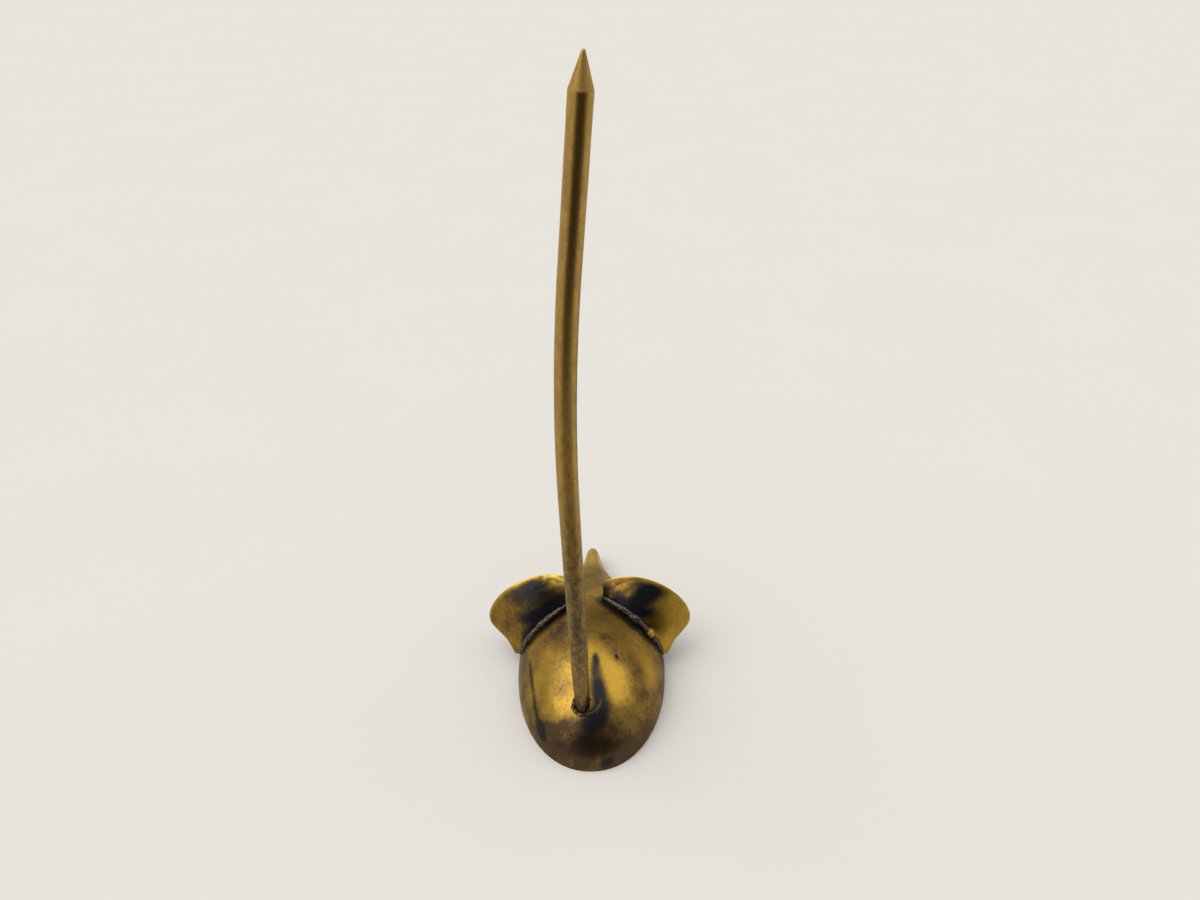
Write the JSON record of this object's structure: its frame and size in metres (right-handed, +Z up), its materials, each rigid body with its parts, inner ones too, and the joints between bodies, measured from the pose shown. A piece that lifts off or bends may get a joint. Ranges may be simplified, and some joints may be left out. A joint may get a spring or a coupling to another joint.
{
  "type": "bill spike",
  "caption": "Desk bill spike in the form of a sheet-brass mouse: a hollow teardrop body with petal ears stands on its rim, and the tail is a pointed rod, slightly bowed, that holds papers.",
  "frame": {"origin": "on the table, under the middle of the overall box", "axes": "+Z up along the spike, +Y from the rump to the nose, +X to the mouse's right"},
  "size_m": [0.0498, 0.0732, 0.1433],
  "materials": {
    "body_brass": "raised sheet brass, softly polished, with brown tarnish at the rump and rim",
    "ear_brass": "sheet brass, browner than the body, dark oxide towards the seam",
    "spike_brass": "drawn brass rod, dull brown tarnish with fine lengthwise lines",
    "solder": "rough grey solder, dull and pitted"
  },
  "bodies": {
    "root": {"body_shell": "body_brass", "ear_right": "ear_brass", "ear_left": "ear_brass", "tail_spike": "spike_brass", "ear_solder_right": "solder", "ear_solder_left": "solder", "spike_solder": "solder", "spike_solder_inside": "solder"}
  },
  "joints": []
}
